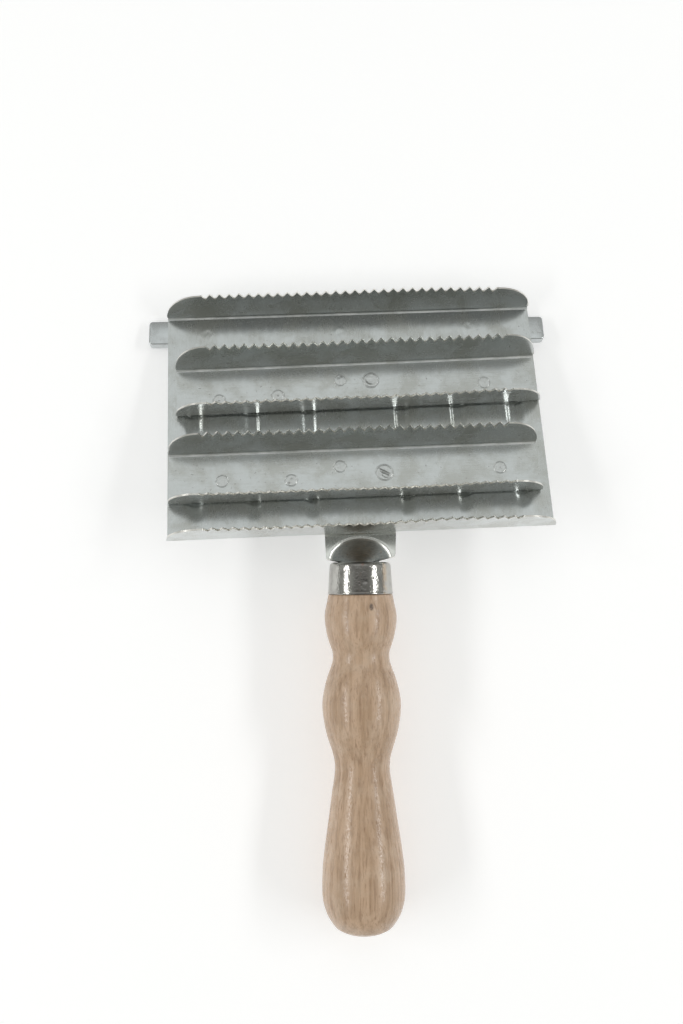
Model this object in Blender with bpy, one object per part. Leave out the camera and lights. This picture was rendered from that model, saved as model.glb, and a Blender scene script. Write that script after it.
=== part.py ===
"""Metal curry comb with a turned wooden handle, lying teeth up on its knocker bar and its butt.

The head is drawn in its own frame: X across, Y from the handle towards the far edge, Z out of the
toothed side, with the origin on the plate's upper face in the middle of the near fold.
Lengths are in metres.
"""
import math

import bmesh
import bpy
from mathutils import Matrix, Vector

MM = 0.001

# Sheet and clearances
SHEET = 0.6 * MM                    # plate and channels
BRACKET_SHEET = 1.2 * MM
GAP = 0.3 * MM                      # air between pieces that touch on the real comb
BEND_RADIUS = 1.2 * MM              # at the middle of the sheet
BEND_STEPS = 4

# Back plate
PLATE_WIDTH = 125.0 * MM            # across the comb
PLATE_LENGTH = 80.4 * MM            # near fold to far fold
PLATE_FLANGE_HEIGHT = 13.2 * MM     # tooth tips above the plate
PLATE_FLARE = math.radians(3.0)
PLATE_END_ROUND = (12.0 * MM, 12.0 * MM)

# Tooth channels
CHANNEL_INSET = 1.7 * MM            # plate's side edge to the channel's end
CHANNEL_LENGTH = PLATE_WIDTH - 2 * CHANNEL_INSET
CHANNEL_WIDTH = 17.0 * MM           # fold to fold
CHANNEL_FLANGE_HEIGHT = 13.2 * MM   # tooth tips above the channel's floor
CHANNEL_FLARE = math.radians(7.5)
CHANNEL_END_ROUND = (10.3 * MM, 12.0 * MM)
NEAR_ROW_GAP = 12.3 * MM            # near fold to the lower channel
FAR_ROW_GAP = 19.7 * MM             # upper channel to the far fold
UPPER_CHANNEL = (1.4 * MM, PLATE_LENGTH - FAR_ROW_GAP - CHANNEL_WIDTH / 2)
LOWER_CHANNEL = (-1.3 * MM, NEAR_ROW_GAP + CHANNEL_WIDTH / 2)
UPPER_CHANNEL_YAW = math.radians(0.5)

# Teeth, the same on all six rows
TOOTH_PITCH = 3.24 * MM
TOOTH_DEPTH = 2.7 * MM
ROW_SHOULDER = 10.5 * MM            # least plain edge at each end of a channel's row
NOTCHES = int((CHANNEL_LENGTH - 2 * ROW_SHOULDER) / TOOTH_PITCH)
END_ROUND_STEPS = 5

# Tang bracket
BRACKET_WIDTH = 23.0 * MM
BRACKET_TIP_WIDTH = 20.8 * MM
BRACKET_CENTRE_X = -0.6 * MM
BRACKET_PAST_CHANNEL = 6.8 * MM     # beyond the upper channel's centre line
BRACKET_FAR_Y = UPPER_CHANNEL[1] + BRACKET_PAST_CHANNEL
BRACKET_TIP_Y = -8.3 * MM
BRACKET_CORNER = 1.8 * MM
SCOOP_HALF_WIDTH = 9.1 * MM
SCOOP_LENGTH = 7.6 * MM             # ahead of the scoop's centre
SCOOP_DEPTH = 7.0 * MM
SCOOP_CENTRE_Y = -8.8 * MM
TANG_RADIUS = 5.8 * MM
TANG_END_RADIUS = 3.4 * MM
TANG_LENGTH = 36.0 * MM             # from the ferrule's mouth
TANG_ROOT = 3.0 * MM                # run under the scoop, ahead of the ferrule's mouth
TANG_HOLLOW_AHEAD = 0.9 * MM        # of the tang's hollow, ahead of the ferrule's mouth
TANG_SEAM_Y = -2.2 * MM             # where the tang's open top begins

# Pressed grooves in the plate
GROOVE_FROM_BRACKET = 4.2 * MM      # bracket's side to the nearest groove's centre line
GROOVE_FROM_EDGE = 8.8 * MM         # plate's side edge to the last groove's centre line
GROOVES_PER_SIDE = 3
GROOVE_INNER_X = BRACKET_WIDTH / 2 + GROOVE_FROM_BRACKET
GROOVE_SPACING = (PLATE_WIDTH / 2 - GROOVE_FROM_EDGE - GROOVE_INNER_X) / (GROOVES_PER_SIDE - 1)
GROOVE_WIDTH = 4.6 * MM
GROOVE_DEPTH = 1.6 * MM
GROOVE_PAST_CHANNEL = 2.8 * MM      # beyond the upper channel's centre line
GROOVE_NEAR_Y = 12.0 * MM
GROOVE_FAR_Y = UPPER_CHANNEL[1] + GROOVE_PAST_CHANNEL
GROOVE_SIDES = 18

# Knocker bar
LEFT_LUG = 6.7 * MM                 # bar's end past the plate's side edge
RIGHT_LUG = 5.1 * MM
BAR_LENGTH = PLATE_WIDTH + LEFT_LUG + RIGHT_LUG
BAR_WIDTH = 8.9 * MM
BAR_THICKNESS = 3.3 * MM
BAR_CENTRE_X = (RIGHT_LUG - LEFT_LUG) / 2
BAR_FROM_FAR_FOLD = 6.5 * MM        # far fold to the bar's centre line
BAR_CORNER = 1.0 * MM
BAR_WEAR = 0.2 * MM                 # depth of the flat that the bar rests on
CORNER_STEPS = 4

# Rivets: head radius, panel between grooves, and the place from the middle of that panel and
# from the channel's centre line; panel 0 is over the bracket and panels -1 and -2 are to its left
RIVET_SHANK_RADIUS = 1.2 * MM
RIVET_HEAD_HEIGHT = 0.4 * MM
RIVET_HEAD_ROUND = 0.35 * MM
RIVET_TAIL_RADIUS = 2.0 * MM
RIVET_TAIL_HEIGHT = 0.5 * MM
RIVET_TAIL_ROUND = 0.4 * MM
RIVET_SIDES = 12
SMALL_HEAD = 2.2 * MM
LARGE_HEAD = 3.0 * MM
UPPER_RIVETS = [
    (SMALL_HEAD, -2, -1.1 * MM, -3.9 * MM),
    (SMALL_HEAD, -1, -0.4 * MM, -2.9 * MM),
    (SMALL_HEAD, 0, -4.4 * MM, 2.0 * MM),
    (LARGE_HEAD, 0, 5.9 * MM, 1.6 * MM),
    (SMALL_HEAD, 2, 0.2 * MM, -0.7 * MM),
]
LOWER_RIVETS = [
    (SMALL_HEAD, -2, -0.5 * MM, -1.5 * MM),
    (SMALL_HEAD, -1, 3.0 * MM, -2.1 * MM),
    (SMALL_HEAD, 0, -6.0 * MM, 2.1 * MM),
    (LARGE_HEAD, 0, 8.4 * MM, -0.6 * MM),
    (SMALL_HEAD, 2, 2.5 * MM, -0.4 * MM),
]

# Handle and ferrule, on the handle's own axis
HANDLE_START = (-1.1 * MM, -8.6 * MM, -4.3 * MM)
HANDLE_BEND = math.radians(15.8)    # below the plate's plane
HANDLE_YAW = math.radians(-1.9)
FERRULE_LENGTH = 10.2 * MM
FERRULE_WALL = 0.7 * MM
FERRULE_MOUTH_RADIUS = 9.9 * MM
FERRULE_RIM_RADIUS = 10.45 * MM
FERRULE_SHOULDER = 1.2 * MM
FERRULE_STEPS = 5
FERRULE_INNER_STEPS = 2
HANDLE_RADIUS_AT_FERRULE = 10.5 * MM
FIRST_BULGE_RADIUS = 11.65 * MM
FIRST_FALL_RADIUS = 10.8 * MM
FIRST_WAIST_RADIUS = 9.0 * MM
SECOND_RISE_RADIUS = 11.3 * MM
SECOND_BULGE_RADIUS = 12.65 * MM
SECOND_FALL_RADIUS = 11.6 * MM
SECOND_WAIST_RADIUS = 8.7 * MM
FLARE_RADIUS = 9.95 * MM
BUTT_RADIUS = 13.35 * MM
FIRST_BULGE_AT = 7.1 * MM           # distances from the ferrule's rim
FIRST_FALL_AT = 13.6 * MM
FIRST_WAIST_AT = 19.9 * MM
SECOND_RISE_AT = 27.6 * MM
SECOND_BULGE_AT = 35.3 * MM
SECOND_FALL_AT = 43.6 * MM
SECOND_WAIST_AT = 54.6 * MM
FLARE_AT = 64.1 * MM
BUTT_AT = 93.2 * MM
HANDLE_LENGTH = 106.4 * MM
BUTT_FLAT_RADIUS = 5.0 * MM
SWELL_STEPS = 4
BUTT_STEPS = 6
ROUND_SIDES = 36
BALL_SIDES = 32
BALL_RINGS = 18
CAPSULE_STEPS = 4
CUTTER_REACH = 66.0 * MM            # a cutter's size past all that it cuts

PLATE_TOP = 0.0
PLATE_BOTTOM = PLATE_TOP - SHEET
CHANNEL_BOTTOM = PLATE_TOP + GAP
CHANNEL_TOP = CHANNEL_BOTTOM + SHEET
BRACKET_TOP = PLATE_BOTTOM - GAP
BRACKET_BOTTOM = BRACKET_TOP - BRACKET_SHEET
BAR_TOP = PLATE_BOTTOM - GAP


def clear_scene():
    for item in list(bpy.data.objects):
        bpy.data.objects.remove(item, do_unlink=True)


def material(name, color, roughness, metallic):
    result = bpy.data.materials.new(name)
    result.use_nodes = True
    shader = result.node_tree.nodes["Principled BSDF"]
    shader.inputs["Base Color"].default_value = (*color, 1.0)
    shader.inputs["Roughness"].default_value = roughness
    shader.inputs["Metallic"].default_value = metallic
    return result


def empty(name, parent=None, location=(0, 0, 0), rotation=(0, 0, 0)):
    result = bpy.data.objects.new(name, None)
    bpy.context.collection.objects.link(result)
    result.parent = parent
    result.location = location
    result.rotation_euler = rotation
    return result


def add_object(name, bm, parent, skin=None, location=(0, 0, 0), rotation=(0, 0, 0)):
    mesh = bpy.data.meshes.new(name)
    bm.to_mesh(mesh)
    bm.free()
    result = bpy.data.objects.new(name, mesh)
    bpy.context.collection.objects.link(result)
    result.parent = parent
    result.location = location
    result.rotation_euler = rotation
    if skin:
        mesh.materials.append(skin)
    return result


def shade_round(item, angle=30.0):
    item.data.shade_smooth()
    item.data.set_sharp_from_angle(angle=math.radians(angle))


def boolean(item, cutter, operation):
    cutter.hide_render = True
    cutter.display_type = "WIRE"
    change = item.modifiers.new(cutter.name, "BOOLEAN")
    change.operation = operation
    change.object = cutter
    change.solver = "EXACT"


def turned(profile, sides):
    """Spin an outline of (radius, height) points about Z; an outline off the axis is closed."""
    bm = bmesh.new()
    points = [bm.verts.new((radius, 0, height)) for radius, height in profile]
    on_axis = profile[0][0] == 0 and profile[-1][0] == 0
    loop = points if on_axis else points + points[:1]
    edges = [bm.edges.new(pair) for pair in zip(loop, loop[1:])]
    bmesh.ops.spin(bm, geom=points + edges, cent=(0, 0, 0), axis=(0, 0, 1),
                   angle=math.tau, steps=sides, use_merge=True, use_duplicate=False)
    bmesh.ops.remove_doubles(bm, verts=bm.verts[:], dist=1e-6)
    bmesh.ops.recalc_face_normals(bm, faces=bm.faces[:])
    return bm


def arc(centre, radius, start, end, steps):
    """Points of (x, y) on a circle or, with a pair of radii, on an ellipse; angles in degrees."""
    rx, ry = radius if isinstance(radius, tuple) else (radius, radius)
    angles = [math.radians(start + (end - start) * step / steps) for step in range(steps + 1)]
    return [(centre[0] + rx * math.cos(a), centre[1] + ry * math.sin(a)) for a in angles]


def row_outline(half_length, height, end_round):
    """The free edge of a toothed flange, left to right, as (x, height above the bend)."""
    width, rise = end_round
    left = arc((-half_length + width, height - rise), (width, rise), 180, 90, END_ROUND_STEPS)
    teeth = []
    start = -TOOTH_PITCH * NOTCHES / 2
    for notch in range(NOTCHES):
        teeth.append((start + TOOTH_PITCH * notch, height))
        teeth.append((start + TOOTH_PITCH * (notch + 0.5), height - TOOTH_DEPTH))
    teeth.append((-start, height))
    right = [(-x, z) for x, z in reversed(left)]
    return left + teeth + right


def folded_sheet(length, width, height, flare, end_round):
    """The middle surface of a sheet whose two long edges are folded up into toothed rows.

    The folds lie along X at y = -width/2 and +width/2 and the floor at z = 0.
    """
    half = length / 2
    turn = math.pi / 2 - flare
    floor_y = width / 2 - BEND_RADIUS * math.tan(turn / 2)
    bm = bmesh.new()
    corners = [bm.verts.new(point) for point in
               ((-half, -floor_y, 0), (half, -floor_y, 0), (half, floor_y, 0), (-half, floor_y, 0))]
    bm.faces.new(corners)
    bm.edges.ensure_lookup_table()
    for side in (-1, 1):
        fold = [e for e in bm.edges if all(abs(v.co.y - side * floor_y) < 1e-6 for v in e.verts)]
        swept = bmesh.ops.spin(bm, geom=fold + list(fold[0].verts), cent=(0, side * floor_y, BEND_RADIUS),
                               axis=(side, 0, 0), angle=turn, steps=BEND_STEPS)
        ends = [v for v in swept["geom_last"] if isinstance(v, bmesh.types.BMVert)]
        ends.sort(key=lambda v: v.co.x)
        foot = ends[0].co.copy()
        climb = (height - foot.z) / math.cos(flare)
        up = Vector((0, side * math.sin(flare), math.cos(flare)))
        edge = [bm.verts.new(Vector((x, foot.y, foot.z)) + up * z)
                for x, z in row_outline(half, climb, end_round)]
        face = [ends[0]] + edge + [ends[1]]
        bm.faces.new(face if side > 0 else face[::-1])
    bmesh.ops.recalc_face_normals(bm, faces=bm.faces[:])
    return bm


def thicken(item, thickness):
    change = item.modifiers.new("sheet", "SOLIDIFY")
    change.thickness = thickness
    change.offset = 0.0
    change.use_even_offset = True


def capsule(radius, length, sides):
    """A round-ended rod along Y, from y = 0 to y = length between its ends' centres."""
    near = arc((0, 0), radius, -90, 0, CAPSULE_STEPS)
    profile = near + [(r, length - z) for r, z in reversed(near)]
    profile[0] = (0, profile[0][1])
    profile[-1] = (0, profile[-1][1])
    bm = turned(profile, sides)
    bmesh.ops.rotate(bm, verts=bm.verts[:], cent=(0, 0, 0), matrix=Matrix.Rotation(-math.pi / 2, 3, "X"))
    return bm


def keep_below(bm, height):
    """Cut a closed shape at a level, drop what is above it and close the cut."""
    geometry = bm.verts[:] + bm.edges[:] + bm.faces[:]
    cut = bmesh.ops.bisect_plane(bm, geom=geometry, plane_co=(0, 0, height), plane_no=(0, 0, 1),
                                 clear_outer=True)
    rim = [e for e in cut["geom_cut"] if isinstance(e, bmesh.types.BMEdge)]
    bmesh.ops.contextual_create(bm, geom=rim)
    bmesh.ops.recalc_face_normals(bm, faces=bm.faces[:])
    return bm


def box(low, high):
    bm = bmesh.new()
    size = [b - a for a, b in zip(low, high)]
    middle = [(a + b) / 2 for a, b in zip(low, high)]
    bmesh.ops.create_cube(bm, size=1.0, matrix=Matrix.Translation(middle) @ Matrix.Diagonal((*size, 1)))
    return bm


def groove_places():
    offsets = [GROOVE_INNER_X + GROOVE_SPACING * n for n in range(GROOVES_PER_SIDE)]
    return [-x for x in reversed(offsets)] + offsets


def add_back_plate(comb, skin):
    bm = folded_sheet(PLATE_WIDTH, PLATE_LENGTH, PLATE_FLANGE_HEIGHT + SHEET / 2, PLATE_FLARE,
                      PLATE_END_ROUND)
    bmesh.ops.translate(bm, verts=bm.verts[:], vec=(0, PLATE_LENGTH / 2, PLATE_TOP - SHEET / 2))
    plate = add_object("back_plate", bm, comb, skin)
    thicken(plate, SHEET)
    half = GROOVE_WIDTH / 2
    radius = (half ** 2 + GROOVE_DEPTH ** 2) / (2 * GROOVE_DEPTH)
    lift = PLATE_TOP + radius - GROOVE_DEPTH
    length = GROOVE_FAR_Y - GROOVE_NEAR_Y
    for number, x in enumerate(groove_places(), 1):
        rib = capsule(radius + SHEET, length, GROOVE_SIDES)
        rib = keep_below(rib, PLATE_TOP - SHEET / 2 - lift)
        place = (x, GROOVE_NEAR_Y, lift)
        boolean(plate, add_object(f"groove_rib_{number}", rib, comb, location=place), "UNION")
        hollow = capsule(radius, length, GROOVE_SIDES)
        boolean(plate, add_object(f"groove_hollow_{number}", hollow, comb, location=place), "DIFFERENCE")
    return plate


def add_channel(name, comb, skin, place, yaw=0.0):
    bm = folded_sheet(CHANNEL_LENGTH, CHANNEL_WIDTH, CHANNEL_FLANGE_HEIGHT + SHEET / 2, CHANNEL_FLARE,
                      CHANNEL_END_ROUND)
    location = (place[0], place[1], CHANNEL_BOTTOM + SHEET / 2)
    channel = add_object(name, bm, comb, skin, location, (0, 0, yaw))
    thicken(channel, SHEET)
    return channel


def add_knocker_bar(comb, skin):
    """A flat bar whose far lower edge is worn to a flat that lies level on the floor."""
    bm = box((-BAR_LENGTH / 2, -BAR_WIDTH / 2, -BAR_THICKNESS), (BAR_LENGTH / 2, BAR_WIDTH / 2, 0))
    upright = [e for e in bm.edges if abs(e.verts[0].co.z - e.verts[1].co.z) > BAR_THICKNESS / 2]
    bmesh.ops.bevel(bm, geom=upright, offset=BAR_CORNER, affect="EDGES", segments=CORNER_STEPS,
                    profile=0.5, material=-1)
    upward = Vector((0, -math.sin(rest_tilt()), math.cos(rest_tilt())))
    edge = Vector((0, BAR_WIDTH / 2, -BAR_THICKNESS))
    cut = bmesh.ops.bisect_plane(bm, geom=bm.verts[:] + bm.edges[:] + bm.faces[:], clear_inner=True,
                                 plane_co=edge + upward * BAR_WEAR, plane_no=upward)
    bmesh.ops.holes_fill(bm, edges=[e for e in cut["geom_cut"] if isinstance(e, bmesh.types.BMEdge)])
    location = (BAR_CENTRE_X, PLATE_LENGTH - BAR_FROM_FAR_FOLD, BAR_TOP)
    return add_object("knocker_bar", bm, comb, skin, location)


def add_rivet(name, comb, skin, head_radius, x, y, back):
    """A rivet from above the channel's floor to below the piece whose back face is at z = back."""
    head = CHANNEL_TOP + GAP
    tail = back - GAP
    profile = [(0, head + RIVET_HEAD_HEIGHT), (head_radius - RIVET_HEAD_ROUND, head + RIVET_HEAD_HEIGHT),
               (head_radius, head + RIVET_HEAD_HEIGHT / 2), (head_radius, head),
               (RIVET_SHANK_RADIUS, head), (RIVET_SHANK_RADIUS, tail), (RIVET_TAIL_RADIUS, tail),
               (RIVET_TAIL_RADIUS - RIVET_TAIL_ROUND, tail - RIVET_TAIL_HEIGHT),
               (0, tail - RIVET_TAIL_HEIGHT)]
    rivet = add_object(name, turned(profile, RIVET_SIDES), comb, skin, (x, y, 0))
    shade_round(rivet)
    return rivet


def drill(items, name, comb, x, y):
    """One hole with running room for a rivet's shank through each of the given sheets."""
    radius = RIVET_SHANK_RADIUS + GAP
    reach = CHANNEL_TOP - BRACKET_BOTTOM
    profile = [(0, reach), (radius, reach), (radius, -reach), (0, -reach)]
    cutter = add_object(name, turned(profile, RIVET_SIDES), comb, location=(x, y, 0))
    for item in items:
        boolean(item, cutter, "DIFFERENCE")


def panel_middle(panel):
    """The middle of a panel between two grooves, counted outwards from the bracket's."""
    outwards = GROOVE_INNER_X + GROOVE_SPACING * (abs(panel) - 0.5)
    return math.copysign(outwards, panel) if panel else 0.0


def add_rivets(comb, skin, plate, bracket, channel, channel_y, places, prefix):
    for number, (head_radius, panel, along, across) in enumerate(places, 1):
        x, y = panel_middle(panel) + along, channel_y + across
        through_bracket = abs(x - BRACKET_CENTRE_X) < BRACKET_WIDTH / 2 and y < BRACKET_FAR_Y
        back = BRACKET_BOTTOM if through_bracket else PLATE_BOTTOM
        sheets = [channel, plate] + ([bracket] if through_bracket else [])
        drill(sheets, f"{prefix}_hole_{number}", comb, x, y)
        add_rivet(f"{prefix}_rivet_{number}", comb, skin, head_radius, x, y, back)


def add_tang_bracket(comb, axis, skin):
    """A flat tab under the plate that is pressed into a scoop and rolled into an open, tapered tang."""
    bm = bmesh.new()
    half, tip = BRACKET_WIDTH / 2, BRACKET_TIP_WIDTH / 2
    outline = [(-half, BRACKET_FAR_Y), (-half, 0), (-tip, BRACKET_TIP_Y), (tip, BRACKET_TIP_Y),
               (half, 0), (half, BRACKET_FAR_Y)]
    face = bm.faces.new([bm.verts.new((x, y, BRACKET_BOTTOM)) for x, y in outline])
    grown = bmesh.ops.extrude_face_region(bm, geom=[face])
    top = [v for v in grown["geom"] if isinstance(v, bmesh.types.BMVert)]
    bmesh.ops.translate(bm, verts=top, vec=(0, 0, BRACKET_SHEET))
    tips = [e for e in bm.edges if abs(e.verts[0].co.z - e.verts[1].co.z) > BRACKET_SHEET / 2
            and e.verts[0].co.y < BRACKET_TIP_Y / 2]
    bmesh.ops.bevel(bm, geom=tips, offset=BRACKET_CORNER, affect="EDGES", segments=CORNER_STEPS,
                    profile=0.5, material=-1)
    bmesh.ops.recalc_face_normals(bm, faces=bm.faces[:])
    bracket = add_object("tang_bracket", bm, comb, skin, (BRACKET_CENTRE_X, 0, 0))

    centre = (HANDLE_START[0], SCOOP_CENTRE_Y, BRACKET_TOP)
    bowl = keep_below(ball(SCOOP_HALF_WIDTH + BRACKET_SHEET, SCOOP_LENGTH + BRACKET_SHEET,
                           SCOOP_DEPTH + BRACKET_SHEET), -BRACKET_SHEET / 2)
    bowl = add_object("scoop_bowl", bowl, comb, location=centre)
    hollow = add_object("scoop_hollow", ball(SCOOP_HALF_WIDTH, SCOOP_LENGTH, SCOOP_DEPTH), comb,
                        location=centre)
    reach = CUTTER_REACH
    beyond = add_object("scoop_end", box((-reach, -reach, -GAP), (reach, reach, reach)), axis)
    boolean(bowl, beyond, "DIFFERENCE")

    rod = add_object("tang_outside", tang_cone(-TANG_ROOT, TANG_LENGTH, 0), axis)
    hollow_tang = tang_cone(-TANG_HOLLOW_AHEAD, TANG_LENGTH + GAP, -BRACKET_SHEET)
    core = add_object("tang_inside", hollow_tang, axis)
    above = add_object("tang_seam", box((-reach, -reach, 0), (reach, TANG_SEAM_Y, reach)), comb,
                       location=(HANDLE_START[0], 0, BRACKET_TOP))
    boolean(rod, above, "DIFFERENCE")
    boolean(bracket, bowl, "UNION")
    boolean(bracket, rod, "UNION")
    boolean(bracket, hollow, "DIFFERENCE")
    boolean(bracket, core, "DIFFERENCE")
    return bracket


def tang_radius(height):
    return TANG_RADIUS + (TANG_END_RADIUS - TANG_RADIUS) * height / TANG_LENGTH


def tang_cone(start, end, margin):
    """The tang's taper from one distance along the handle to another, grown by a margin."""
    profile = [(0, start), (tang_radius(start) + margin, start), (tang_radius(end) + margin, end),
               (0, end)]
    return turned(profile, ROUND_SIDES)


def ball(half_x, half_y, half_z):
    bm = bmesh.new()
    bmesh.ops.create_uvsphere(bm, u_segments=BALL_SIDES, v_segments=BALL_RINGS, radius=1.0,
                              matrix=Matrix.Diagonal((half_x, half_y, half_z, 1)))
    return bm


def add_ferrule(axis, skin):
    """A cup with a rolled shoulder; its closed end faces the head and has a hole for the tang."""
    hole = TANG_RADIUS + GAP
    outer = FERRULE_MOUTH_RADIUS
    inner_corner = FERRULE_SHOULDER - FERRULE_WALL
    outside = arc((outer - FERRULE_SHOULDER, FERRULE_SHOULDER), FERRULE_SHOULDER, -90, 0, FERRULE_STEPS)
    inside = arc((outer - FERRULE_SHOULDER, FERRULE_SHOULDER), inner_corner, 0, -90,
                 FERRULE_INNER_STEPS)
    profile = [(hole, 0)] + outside + [(FERRULE_RIM_RADIUS, FERRULE_LENGTH),
                                       (FERRULE_RIM_RADIUS - FERRULE_WALL, FERRULE_LENGTH)]
    profile += inside + [(hole, FERRULE_WALL)]
    ferrule = add_object("ferrule", turned(profile, ROUND_SIDES), axis, skin)
    shade_round(ferrule)
    return ferrule


def swell(knots, steps):
    """A smooth outline through (height, radius) knots, level at each bulge and waist."""
    slopes = []
    for index, (z, r) in enumerate(knots):
        before, after = knots[max(index - 1, 0)], knots[min(index + 1, len(knots) - 1)]
        turning = (r - before[1]) * (after[1] - r) <= 0
        slopes.append(0 if turning else (after[1] - before[1]) / (after[0] - before[0]))
    outline = []
    for (a, b), (slope_a, slope_b) in zip(zip(knots, knots[1:]), zip(slopes, slopes[1:])):
        run = b[0] - a[0]
        for step in range(steps):
            t = step / steps
            radius = ((2 * t ** 3 - 3 * t ** 2 + 1) * a[1] + (t ** 3 - 2 * t ** 2 + t) * run * slope_a
                      + (3 * t ** 2 - 2 * t ** 3) * b[1] + (t ** 3 - t ** 2) * run * slope_b)
            outline.append((radius, a[0] + run * t))
    return outline + [(knots[-1][1], knots[-1][0])]


def add_handle(axis, skin):
    """A turned handle whose spigot fills the ferrule and whose blind hole takes the tang."""
    start = FERRULE_LENGTH + GAP
    end = FERRULE_LENGTH + HANDLE_LENGTH
    spigot_start = FERRULE_WALL + GAP
    spigot = FERRULE_MOUTH_RADIUS - FERRULE_WALL - GAP
    hole_end = TANG_LENGTH + GAP
    profile = [(0, hole_end), (tang_radius(hole_end) + GAP, hole_end),
               (tang_radius(spigot_start) + GAP, spigot_start),
               (spigot - FERRULE_SHOULDER, spigot_start), (spigot, spigot_start + FERRULE_SHOULDER),
               (spigot, start)]
    rim = FERRULE_LENGTH
    knots = [(start, HANDLE_RADIUS_AT_FERRULE), (rim + FIRST_BULGE_AT, FIRST_BULGE_RADIUS),
             (rim + FIRST_FALL_AT, FIRST_FALL_RADIUS), (rim + FIRST_WAIST_AT, FIRST_WAIST_RADIUS),
             (rim + SECOND_RISE_AT, SECOND_RISE_RADIUS), (rim + SECOND_BULGE_AT, SECOND_BULGE_RADIUS),
             (rim + SECOND_FALL_AT, SECOND_FALL_RADIUS), (rim + SECOND_WAIST_AT, SECOND_WAIST_RADIUS),
             (rim + FLARE_AT, FLARE_RADIUS), (rim + BUTT_AT, BUTT_RADIUS)]
    profile += swell(knots, SWELL_STEPS)
    cap = (BUTT_RADIUS - BUTT_FLAT_RADIUS, end - rim - BUTT_AT)
    profile += arc((BUTT_FLAT_RADIUS, rim + BUTT_AT), cap, 0, 90, BUTT_STEPS)[1:] + [(0, end)]
    handle = add_object("handle", turned(profile, ROUND_SIDES), axis, skin)
    shade_round(handle)
    return handle


def rest_tilt():
    """The head's tilt that sets the knocker bar's worn edge and the butt on one level."""
    turn = math.cos(HANDLE_BEND)
    reach = FERRULE_LENGTH + BUTT_AT
    butt_y = HANDLE_START[1] - reach * turn
    butt_z = HANDLE_START[2] - reach * math.sin(HANDLE_BEND)
    bar_y = PLATE_LENGTH - BAR_FROM_FAR_FOLD + BAR_WIDTH / 2
    bar_z = BAR_TOP - BAR_THICKNESS
    run, rise = bar_y - butt_y, bar_z - butt_z
    return math.atan2(rise, run) + math.asin((BUTT_RADIUS + BAR_WEAR) / math.hypot(run, rise))


def stand_on_floor(comb):
    """Move the comb so that its lowest point is at z = 0 and its box is centred on the Z axis."""
    bpy.context.view_layer.update()
    shown = bpy.context.evaluated_depsgraph_get()
    points = []
    for item in bpy.data.objects:
        if item.type == "MESH" and not item.hide_render:
            solid = item.evaluated_get(shown)
            points += [solid.matrix_world @ vertex.co for vertex in solid.data.vertices]
    lows = [min(point[axis] for point in points) for axis in range(3)]
    highs = [max(point[axis] for point in points) for axis in range(3)]
    comb.location = (-(lows[0] + highs[0]) / 2, -(lows[1] + highs[1]) / 2, -lows[2])
    bpy.context.view_layer.update()


def build():
    clear_scene()
    tinned = material("tinned_steel", (0.56, 0.58, 0.57), 0.28, 1.0)
    bar_steel = material("bar_steel", (0.50, 0.51, 0.50), 0.4, 1.0)
    rivet_steel = material("rivet_steel", (0.46, 0.46, 0.44), 0.35, 1.0)
    nickel = material("nickel", (0.66, 0.64, 0.60), 0.15, 1.0)
    wood = material("beech", (0.62, 0.43, 0.27), 0.45, 0.0)

    comb = empty("comb", rotation=(-rest_tilt(), 0, 0))
    axis = empty("handle_axis", comb, HANDLE_START, (math.pi / 2 + HANDLE_BEND, 0, HANDLE_YAW))
    plate = add_back_plate(comb, tinned)
    upper = add_channel("upper_tooth_channel", comb, tinned, UPPER_CHANNEL, UPPER_CHANNEL_YAW)
    lower = add_channel("lower_tooth_channel", comb, tinned, LOWER_CHANNEL)
    add_knocker_bar(comb, bar_steel)
    bracket = add_tang_bracket(comb, axis, tinned)
    add_rivets(comb, rivet_steel, plate, bracket, upper, UPPER_CHANNEL[1], UPPER_RIVETS, "upper")
    add_rivets(comb, rivet_steel, plate, bracket, lower, LOWER_CHANNEL[1], LOWER_RIVETS, "lower")
    add_ferrule(axis, nickel)
    add_handle(axis, wood)
    stand_on_floor(comb)


build()
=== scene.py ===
import math
import random

import bmesh
import bpy
from mathutils import Matrix, Vector, noise


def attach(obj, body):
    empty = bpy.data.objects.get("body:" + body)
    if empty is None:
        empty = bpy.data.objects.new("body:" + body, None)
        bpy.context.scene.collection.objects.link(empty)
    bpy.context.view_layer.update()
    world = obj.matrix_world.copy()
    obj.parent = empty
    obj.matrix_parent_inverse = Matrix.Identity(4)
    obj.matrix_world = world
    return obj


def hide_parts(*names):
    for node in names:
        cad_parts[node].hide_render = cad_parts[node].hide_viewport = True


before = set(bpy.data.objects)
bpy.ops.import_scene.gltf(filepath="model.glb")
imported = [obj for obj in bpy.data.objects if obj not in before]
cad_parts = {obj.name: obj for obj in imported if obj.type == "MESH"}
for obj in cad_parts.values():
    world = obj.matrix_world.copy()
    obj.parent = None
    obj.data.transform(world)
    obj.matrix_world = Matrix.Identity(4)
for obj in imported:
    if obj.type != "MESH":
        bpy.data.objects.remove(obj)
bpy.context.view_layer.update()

MM = 0.001

# ---------------------------------------------------------------------------------------------
# Camera: it looks nearly straight down on the comb, which lies teeth up with its handle towards
# the viewer.
# ---------------------------------------------------------------------------------------------

CAMERA_PLACE = (-19.117 * MM, -4.794 * MM, 340.124 * MM)
CAMERA_TURN = (6.1087, -2.1484, -2.5612)      # degrees about X, Y and Z
CAMERA_LENS = 35.0

camera = bpy.data.objects.new("camera", bpy.data.cameras.new("camera"))
camera.data.lens = CAMERA_LENS
camera.data.clip_start = 10.0 * MM
camera.location = CAMERA_PLACE
camera.rotation_euler = [math.radians(turn) for turn in CAMERA_TURN]
bpy.context.scene.collection.objects.link(camera)
bpy.context.scene.camera = camera
bpy.context.scene.view_settings.view_transform = "Standard"

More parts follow.
